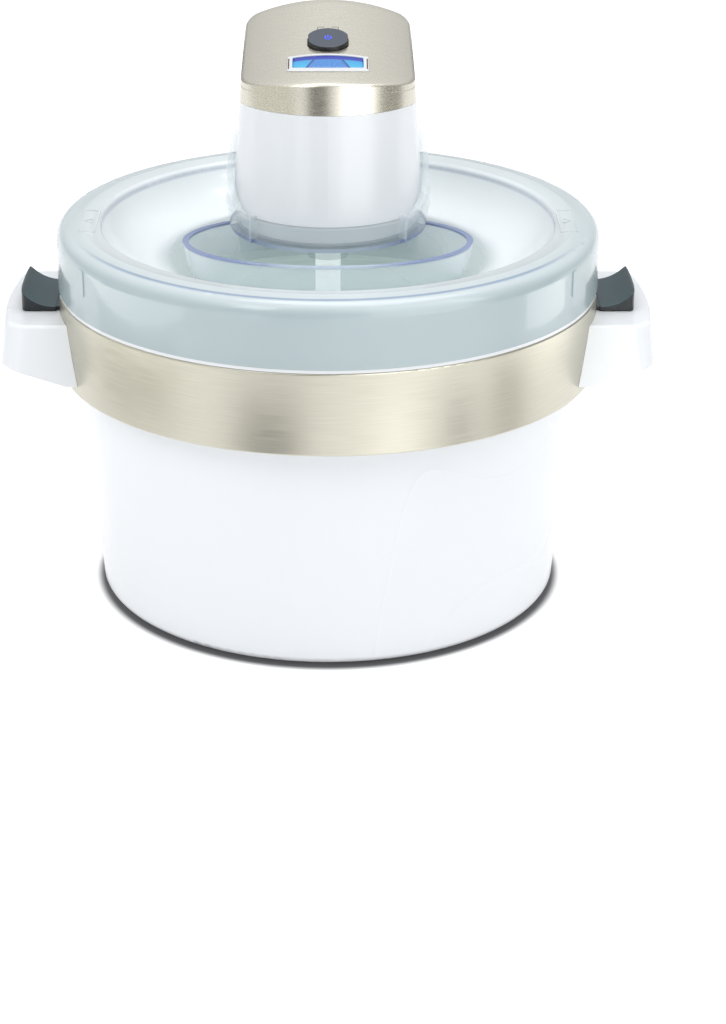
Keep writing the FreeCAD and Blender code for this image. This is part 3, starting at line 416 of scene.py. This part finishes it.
def gel_liquid():
    """Blue cooling gel in the bowl's double wall."""
    n = Nodes("gel_liquid")
    n.colour(n.blend(n.noise(12.0, 3.0), (0.25, 0.5, 0.8), (0.4, 0.65, 0.9)))
    n.roughness(n.between(n.noise(60.0, 2.0), 0.3, 0.7, 0.15, 0.3))
    return n.material


DARK_CARD = (0.04, 0.035, 0.028)
PALE_CARD = (0.8, 0.8, 0.8)
CHAMPAGNE = (0.57, 0.55, 0.465)

WHITE = moulded("white_body", (0.79, 0.810, 0.828), 0.26, relief=0.000004, coat=0.35, tone=0.006)
# the ears, switch, plug and button get a painted lit top colour and a painted shaded side colour
EAR_GREY = dark_plastic("ear_grey", (0.036, 0.070, 0.081), (0.012, 0.017, 0.020), 0.36)
BUTTON_GREY = dark_plastic("button_grey", (0.045, 0.057, 0.078), (0.010, 0.011, 0.012), 0.38)
BLACK_RUBBER = moulded("black_rubber", (0.018, 0.018, 0.018), 0.65, relief=0.00006)
SILICONE = moulded("silicone", (0.66, 0.70, 0.72), 0.5)
ACETAL = moulded("acetal", (0.80, 0.78, 0.70), 0.35)
BAND = band_metal()
COVER = brushed("champagne_cover", (0.65, 0.62, 0.535), 0.85, 0.27, (14, 520, 520), tone=0.010)
BEZEL = moulded("bezel_grey", (0.66, 0.67, 0.67), 0.3)
LID = lid_plastic()
SCREEN = screen_glow()
WINDOW = window_clear()
# the liner and paddle glow faintly: painted light
ALUMINIUM = inside_with_painted_glow("spun_aluminium", (0.44, 0.51, 0.50), 0.34, 0.5)
PADDLE_WHITE = inside_with_painted_glow("paddle_white", (0.79, 0.84, 0.82), 0.55, 0.0)
STEEL = worn_metal("zinc_steel", (0.55, 0.56, 0.57), 0.3)
BRASS = worn_metal("sintered_brass", (0.70, 0.50, 0.22), 0.35)
ARMATURE = worn_metal("armature", (0.30, 0.19, 0.12), 0.45, 0.8)
BOARD = circuit_board()
GEL = gel_liquid()
POWER_BLUE = glow("power_blue", (0.04, 0.07, 0.75), 0.9)
PRINT_GREY = moulded("print_grey", (0.20, 0.19, 0.17), 0.5)
# black strips standing for the painted shade in the display frame's end gaps
PAINTED_GAP_SHADE = moulded("painted_gap_shade_black", (0.02, 0.02, 0.022), 0.5)

FINISH = {
    "outer_housing": WHITE, "handle_left": WHITE, "handle_right": WHITE,
    "bowl_outer_shell": WHITE, "bowl_rim_ring": WHITE, "motor_housing": WHITE,
    "display_bezel": BEZEL, "paddle": PADDLE_WHITE, "trim_band": BAND, "top_cover": COVER,
    "lid": LID, "display_window": WINDOW, "lcd_panel": SCREEN,
    "lift_ear_left": EAR_GREY, "lift_ear_right": EAR_GREY, "gel_fill_plug": EAR_GREY,
    "power_switch": EAR_GREY, "power_button": BUTTON_GREY,
    "rubber_feet": BLACK_RUBBER, "cord_inlet": BLACK_RUBBER, "lid_seal": SILICONE,
    "compound_gear_1": ACETAL, "compound_gear_2": ACETAL, "output_gear": ACETAL,
    "bowl_liner": ALUMINIUM, "rotor": ARMATURE, "motor_pinion": BRASS,
    "shaft_bush": BRASS, "control_board": BOARD, "coolant_gel": GEL,
}
for name, node in frame["nodes"].items():
    node.data.materials.clear()
    node.data.materials.append(FINISH.get(name, STEEL))


# ============================== mesh helpers ======================================

def mesh_object(name, vertices, faces, material, smooth=True):
    """A new object in the scene, made from its vertices and faces."""
    mesh = bpy.data.meshes.new(name)
    mesh.from_pydata([tuple(v) for v in vertices], [], faces)
    mesh.update()
    made = bpy.data.objects.new(name, mesh)
    bpy.context.scene.collection.objects.link(made)
    mesh.materials.append(material)
    if smooth:
        mesh.polygons.foreach_set("use_smooth", [True] * len(mesh.polygons))
    return made


def apply_modifiers(thing):
    """Replaces the object's mesh with what its modifiers make of it."""
    bpy.context.view_layer.update()
    graph = bpy.context.evaluated_depsgraph_get()
    done = bpy.data.meshes.new_from_object(thing.evaluated_get(graph))
    thing.modifiers.clear()
    thing.data = done
    return thing


def strip(points, width, thickness):
    """Vertices and faces of a raised line along points (x, y, surface z)."""
    vertices = []
    faces = []
    count = len(points)
    for i, p in enumerate(points):
        before = points[max(i - 1, 0)]
        after = points[min(i + 1, count - 1)]
        along = Vector((after[0] - before[0], after[1] - before[1], 0)).normalized()
        side = Vector((-along.y, along.x, 0)) * width / 2
        base = Vector(p)
        for offset, lift in ((side, 0), (side, thickness), (-side, thickness), (-side, 0)):
            vertices.append(base + offset + Vector((0, 0, lift)))
    for i in range(count - 1):
        a = 4 * i
        for k in range(4):
            faces.append((a + k, a + (k + 1) % 4, a + 4 + (k + 1) % 4, a + 4 + k))
    faces.append((0, 1, 2, 3))
    end = 4 * (count - 1)
    faces.append((end + 3, end + 2, end + 1, end))
    return vertices, faces


def strips_object(name, lines, width, thickness, material, matrix=None):
    """Several raised lines as one piece."""
    vertices = []
    faces = []
    for line in lines:
        v, f = strip(line, width, thickness)
        faces += [tuple(i + len(vertices) for i in face) for face in f]
        vertices += v
    made = mesh_object(name, vertices, faces, material, smooth=False)
    if matrix is not None:
        made.matrix_world = matrix
    return made


def crown_height(x):
    """Height of the crowned panel over its tilted plane, at one x."""
    return math.sqrt(PANEL_CROWN_R ** 2 - x ** 2) - PANEL_CROWN_R


def panel_z(x, y):
    """Height of the panel above the floor over a point of the plan."""
    slope = (y - PANEL_FRONT.y) * math.tan(PANEL_TILT)
    return PANEL_FRONT.z + slope + crown_height(x) / math.cos(PANEL_TILT)


# ============================== top cover ============================================

def arc(centre, radius, start, end, count):
    angles = [start + (end - start) * i / count for i in range(count)]
    return [(centre[0] + radius * math.cos(a), centre[1] + radius * math.sin(a)) for a in angles]


def line(start, end, count):
    return [(start[0] + (end[0] - start[0]) * i / count,
             start[1] + (end[1] - start[1]) * i / count) for i in range(count)]


def head_plan(z, inset):
    """Points round the motor unit at one height: bowed front, straight back."""
    share = (z - HEAD_LOW_Z) / (HEAD_HIGH_Z - HEAD_LOW_Z)
    size = {k: HEAD_PLAN_LOW[k] + share * (HEAD_PLAN_HIGH[k] - HEAD_PLAN_LOW[k])
            for k in HEAD_PLAN_LOW}
    middle_y = size["front"] + size["front_r"]
    front_r = size["front_r"] - inset
    half = size["half"] - inset
    corner = size["corner"] - inset
    back = size["back"] - inset
    rise = max(0.0, min(1.0, (z - HEAD_SPLIT) / (COVER_BACK_Z - HEAD_SPLIT)))
    back_corner = size["back_corner"] * (1 - rise) + COVER_BACK_CORNER * rise - inset
    corner_x = half - corner
    corner_y = middle_y - math.sqrt((front_r - corner) ** 2 - corner_x ** 2)
    meet = math.atan2(corner_y - middle_y, corner_x)
    quarter = math.pi / 2
    side_y = back - back_corner
    right = arc((0, middle_y), front_r, -quarter, meet, 20)
    right += arc((corner_x, corner_y), corner, meet, 0, 12)
    right += line((half, corner_y), (half, side_y), 10)
    right += arc((half - back_corner, side_y), back_corner, 0, quarter, 12)
    right += line((half - back_corner, back), (0, back), 8)
    left = [(-x, y) for x, y in reversed(right[1:])]
    return right + [(0, back)] + left


def top_cover():
    """The champagne cover with softly rounded edges round its sloping top."""
    soft = COVER_SOFT
    walls = 6
    turns = 6
    rings = 10
    rows = []
    edge_z = [panel_z(x, y) - soft for x, y in head_plan(0.24, soft)]
    for step in range(walls + 1):
        share = step / walls
        row = []
        for i, top in enumerate(edge_z):
            z = HEAD_SPLIT + 0.0001 + share * (top - HEAD_SPLIT - 0.0001)
            x, y = head_plan(z, 0.0)[i]
            row.append((x, y, z))
        rows.append(row)
    for step in range(1, turns + 1):
        a = math.pi / 2 * step / turns
        inset = soft * (1 - math.cos(a))
        row = []
        for i, top in enumerate(edge_z):
            x, y = head_plan(top, inset)[i]
            row.append((x, y, panel_z(x, y) - soft * (1 - math.sin(a))))
        rows.append(row)
    for step in range(1, rings):
        keep = 1 - step / rings
        inner = [(x * keep, y * keep) for x, y, _ in rows[walls + turns]]
        rows.append([(x, y, panel_z(x, y)) for x, y in inner])
    count = len(edge_z)
    vertices = [p for row in rows for p in row] + [(0, 0, panel_z(0, 0))]
    faces = []
    for r in range(len(rows) - 1):
        for i in range(count):
            j = (i + 1) % count
            faces.append((r * count + i, r * count + j, (r + 1) * count + j, (r + 1) * count + i))
    last = (len(rows) - 1) * count
    faces += [(last + i, last + (i + 1) % count, len(vertices) - 1) for i in range(count)]
    cover = mesh_object("cover_shell", vertices, faces, COVER)
    wall = cover.modifiers.new("wall", "SOLIDIFY")
    wall.thickness = COVER_WALL
    wall.offset = -1.0
    for cutter in (button_cutter(), display_cutter()):
        hole = cover.modifiers.new("hole", "BOOLEAN")
        hole.object = cutter
        hole.operation = "DIFFERENCE"
        hole.solver = "EXACT"
    apply_modifiers(cover)
    for cutter in [o for o in bpy.data.objects if o.name.startswith("cutter_")]:
        bpy.data.objects.remove(cutter)
    cover.data.materials.clear()
    cover.data.materials.append(COVER)
    cover.data.set_sharp_from_angle(angle=math.radians(40))
    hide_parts("top_cover")
    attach(cover, "motor_unit")


def prism(name, outline, low, high, matrix):
    """A closed prism over an outline in panel axes, used to cut holes."""
    count = len(outline)
    vertices = [(x, y, low) for x, y in outline] + [(x, y, high) for x, y in outline]
    faces = [tuple(reversed(range(count))), tuple(range(count, 2 * count))]
    faces += [(i, (i + 1) % count, count + (i + 1) % count, count + i) for i in range(count)]
    made = mesh_object(name, vertices, faces, COVER, smooth=False)
    made.matrix_world = matrix
    return made


def clipped_circle(radius, half, centre_v, count=64):
    """A circle whose left and right sides are cut flat."""
    points = [(radius * math.cos(2 * math.pi * i / count), radius * math.sin(2 * math.pi * i / count))
              for i in range(count)]
    return [(max(-half, min(half, x)), centre_v + y) for x, y in points]


def bowed_window(half, v0, v1, count=24):
    """Straight far edge, near edge bowed out like the front wall."""
    bow = half ** 2 / (2 * HEAD_PLAN_HIGH["front_r"])
    near = []
    for i in range(count + 1):
        x = -half + 2 * half * i / count
        near.append((x, v0 + bow * (x / half) ** 2))
    return near + [(half, v1), (-half, v1)]


def button_cutter():
    outline = clipped_circle(BUTTON_R, BUTTON_HALF, BUTTON_V)
    return prism("cutter_button", outline, -CUT_DEPTH, CUT_DEPTH, PANEL)


def display_cutter():
    outline = bowed_window(DISPLAY_HALF, *DISPLAY_V)
    return prism("cutter_display", outline, -CUT_DEPTH, CUT_DEPTH, PANEL)


# ============================== small details =========================================

def display_film():
    """The lit picture, as a thin film that follows the clear window's top."""
    columns = 24
    rows = 8
    half = SCREEN_HALF + 0.0002
    first = SCREEN_V[0] - 0.0002
    last = SCREEN_V[1] + 0.0002
    vertices = []
    for j in range(rows + 1):
        for i in range(columns + 1):
            x = -half + 2 * half * i / columns
            near = first + x ** 2 / (2 * HEAD_PLAN_HIGH["front_r"])
            vertices.append((x, near + (last - near) * j / rows, crown_height(x) + 0.00005))
    faces = []
    for j in range(rows):
        for i in range(columns):
            a = j * (columns + 1) + i
            faces.append((a, a + 1, a + columns + 2, a + columns + 1))
    film = mesh_object("display_film", vertices, faces, SCREEN)
    film.matrix_world = PANEL
    sheet = film.modifiers.new("sheet", "SOLIDIFY")
    sheet.thickness = 0.00004
    sheet.offset = -1.0
    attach(film, "motor_unit")


def power_symbol():
    """Generic on/off symbol: an open ring with a bar, lit in blue."""
    gap = math.radians(38)
    ring = []
    steps = 28
    for i in range(steps + 1):
        a = math.pi / 2 + gap + (2 * math.pi - 2 * gap) * i / steps
        ring.append((0.0013 * math.cos(a), BUTTON_V + 0.0017 * math.sin(a), BUTTON_TOP))
    bar = [(0, BUTTON_V + 0.0001, BUTTON_TOP), (0, BUTTON_V + 0.0021, BUTTON_TOP)]
    symbol = strips_object("power_symbol", [ring, bar], width=0.00055, thickness=0.00006,
                           material=POWER_BLUE, matrix=PANEL)
    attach(symbol, "power_button")


def panel_marks():
    """Two small brackets with a tick between them, printed behind the button."""
    v = 0.0505

    def on(x, dv):
        return (x, v + dv, crown_height(x))

    lines = [[on(-0.0044, -0.0022), on(-0.0044, 0.0), on(-0.0015, 0.0)],
             [on(0.0015, 0.0), on(0.0044, 0.0), on(0.0044, -0.0022)],
             [on(0.0, -0.0022), on(0.0, -0.0008)]]
    marks = strips_object("panel_marks", lines, width=0.00050, thickness=0.00006,
                          material=PRINT_GREY, matrix=PANEL)
    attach(marks, "motor_unit")


def bezel_slits():
    """Dark strips at both ends of the display frame: painted shade that stands for its end gaps."""
    lines = []
    for side in (1, -1):
        x = side * (DISPLAY_HALF - 0.0007)
        height = crown_height(x) + 0.0003
        lines.append([(x, DISPLAY_V[0] + 0.0050, height), (x, DISPLAY_V[1] - 0.0018, height)])
    gap_shade_strips = strips_object("bezel_slits", lines, width=0.00055, thickness=0.00005,
                          material=PAINTED_GAP_SHADE, matrix=PANEL)
    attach(gap_shade_strips, "motor_unit")


def lid_marks():
    """Embossed panels with an arrow in each, on both sides of the rim."""
    z = LID_RIM_TOP - 0.0006
    front, back = ARROW_PANEL_Y
    lines = []
    for side in (1, -1):
        inner, outer = (side * r for r in ARROW_PANEL_R)
        lines.append([(inner, front, z), (outer, front, z), (outer, back, z),
                      (inner, back, z), (inner, front, z)])
        foot, tip = (side * r for r in ARROW_R)
        start, middle, end = ARROW_Y
        lines.append([(foot, start, z), (tip, middle, z), (foot, end, z), (foot, start, z)])
    marks = strips_object("lid_arrow_panels", lines, width=0.0005, thickness=0.0007, material=LID)
    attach(marks, "lid")


def cup_ribs():
    """Upright ribs at both ends of the cup's low front wall."""
    vertices = []
    faces = []
    for side in (1, -1):
        foot = Vector((side * CUP_RIB[0], CUP_RIB[1], 0))
        out = foot.normalized()
        along = Vector((-out.y, out.x, 0))
        half = CUP_RIB_HALF
        near, far = CUP_RIB_DEPTH
        for z in CUP_RIB_Z:
            for u, v in ((-half, near), (-half, far), (half, far), (half, near)):
                vertices.append(foot + along * u + out * v + Vector((0, 0, z)))
    for base in (0, 8):
        faces += [(base, base + 3, base + 2, base + 1), (base + 4, base + 5, base + 6, base + 7)]
        faces += [(base + k, base + (k + 1) % 4, base + 4 + (k + 1) % 4, base + 4 + k) for k in range(4)]
    ribs = mesh_object("cup_ribs", vertices, faces, LID, smooth=False)
    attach(ribs, "lid")


# ============================== camera, floor, light ======================================

def camera():
    """Looks down a little at the front of the machine."""
    data = bpy.data.cameras.new("camera")
    data.lens = CAMERA_LENS
    data.shift_x = CAMERA_SHIFT_X
    data.clip_start = 0.05
    view = bpy.data.objects.new("camera", data)
    view.location = CAMERA_PLACE
    view.rotation_euler = (math.pi / 2 - CAMERA_DOWN, 0, 0)
    bpy.context.scene.collection.objects.link(view)
    bpy.context.scene.camera = view


def floor():
    """Pale table, lit a little from inside, with a painted contact shadow just round the base."""
    n = Nodes("floor")
    x, y, _ = n.split(n.place)
    # painted contact shadow: dark colour and no glow within this ring round the base
    outside_painted_shadow = n.between(n.radius(x, y), BASE_R, BASE_R + CONTACT_WIDTH, 0.08, 1.0)
    tone = n.blend(n.noise(3.0, 2.0), (0.54, 0.54, 0.545), (0.56, 0.56, 0.565))
    n.colour(n.blend(outside_painted_shadow, (0.02, 0.02, 0.03), tone))
    n.link(n.product(outside_painted_shadow, 0.62), n.shader.inputs["Emission Strength"])
    n.set(Roughness=0.6, Emission_Color=(1, 1, 1, 1))
    half = TABLE_HALF
    corners = [(-half, -half, 0), (half, -half, 0), (half, half, 0), (-half, half, 0)]
    ground = mesh_object("floor", corners, [(0, 1, 2, 3)], n.material, smooth=False)


def card(name, azimuth, distance, width, tone, glow_strength=0.0, low=0.0, high=0.5):
    """Upright studio card that only reflections see; some of them glow."""
    n = Nodes(name)
    n.colour(n.blend(n.noise(5.0, 1.0), shaded(tone, 0.9), tone))
    n.set(Roughness=0.9, Emission_Color=(1, 0.99, 0.97, 1), Emission_Strength=glow_strength)
    a = math.radians(azimuth)
    centre = Vector((distance * math.sin(a), -distance * math.cos(a), low))
    along = Vector((math.cos(a), math.sin(a), 0)) * width / 2
    top = Vector((0, 0, high - low))
    corners = [centre - along, centre + along, centre + along + top, centre - along + top]
    sheet = mesh_object(name, corners, [(0, 1, 2, 3)], n.material, smooth=False)
    sheet.visible_camera = False
    sheet.visible_diffuse = False
    sheet.visible_shadow = False
    sheet.visible_transmission = False


def cards():
    """Cards round the machine: name, azimuth from the front, distance, width,
    colour, glow. Dark ones give the metal its dark stripes."""
    card("band_dark", -20, 0.30, 0.115, DARK_CARD, high=BAND_REACH)
    card("band_bright", 23, 0.31, 0.075, PALE_CARD, 1.3, high=BAND_REACH)
    card("band_narrow", 45, 0.30, 0.046, DARK_CARD, high=BAND_REACH)
    card("band_right", 67, 0.32, 0.080, (0.22, 0.21, 0.17), high=BAND_REACH)
    card("band_left", -76, 0.35, 0.26, (0.52, 0.52, 0.47), high=BAND_REACH)
    card("lid_left", -78, 0.35, 0.34, PALE_CARD, 2.4, LID_REACH, COVER_REACH)
    card("lid_right", 88, 0.33, 0.14, PALE_CARD, 3.0, LID_REACH, COVER_REACH)
    card("cover_dark", -10, 0.30, 0.12, DARK_CARD, low=COVER_REACH)
    card("cover_bright", 32, 0.31, 0.200, PALE_CARD, 2.0, low=COVER_REACH)
    card("cover_grey", 74, 0.32, 0.190, (0.25, 0.24, 0.20), low=COVER_REACH)
    card("cover_left", -66, 0.33, 0.380, (0.74, 0.73, 0.67), low=COVER_REACH)


def area_light(name, place, target, size, power):
    """Rectangular white lamp that faces its target."""
    data = bpy.data.lights.new(name, "AREA")
    data.shape = "RECTANGLE"
    data.size, data.size_y = size
    data.energy = power
    lamp = bpy.data.objects.new(name, data)
    lamp.location = place
    lamp.rotation_euler = (Vector(target) - Vector(place)).to_track_quat("-Z", "Y").to_euler()
    bpy.context.scene.collection.objects.link(lamp)


def light():
    """Even daylight, stronger from above, with three soft lamps."""
    world = bpy.data.worlds.new("studio")
    bpy.context.scene.world = world
    world.use_nodes = True
    tree = world.node_tree
    background = tree.nodes["Background"]
    background.inputs["Color"].default_value = (0.96, 0.975, 1.0, 1.0)
    height = tree.nodes.new("ShaderNodeSeparateXYZ")
    tree.links.new(tree.nodes.new("ShaderNodeTexCoord").outputs["Generated"], height.inputs[0])
    rise = tree.nodes.new("ShaderNodeMapRange")
    rise.interpolation_type = "SMOOTHSTEP"
    for socket, number in zip(rise.inputs[1:5], (*SKY_HEIGHTS, *SKY_STRENGTHS)):
        socket.default_value = number
    tree.links.new(height.outputs["Z"], rise.inputs[0])
    tree.links.new(rise.outputs[0], background.inputs["Strength"])
    area_light("key", (-0.9, -1.1, 1.6), target=(0, 0, 0.12), size=(0.9, 0.9), power=8.5)
    area_light("top", (0.2, 0.3, 1.9), target=(0, 0, 0.1), size=(1.4, 1.0), power=13)
    area_light("right_strip", (1.1, -0.5, 0.9), target=(0, 0, 0.13), size=(0.3, 1.0), power=3)


power_symbol()
top_cover()
display_film()
panel_marks()
bezel_slits()
lid_marks()
cup_ribs()
camera()
floor()
cards()
light()
bpy.context.scene.view_settings.view_transform = "Standard"
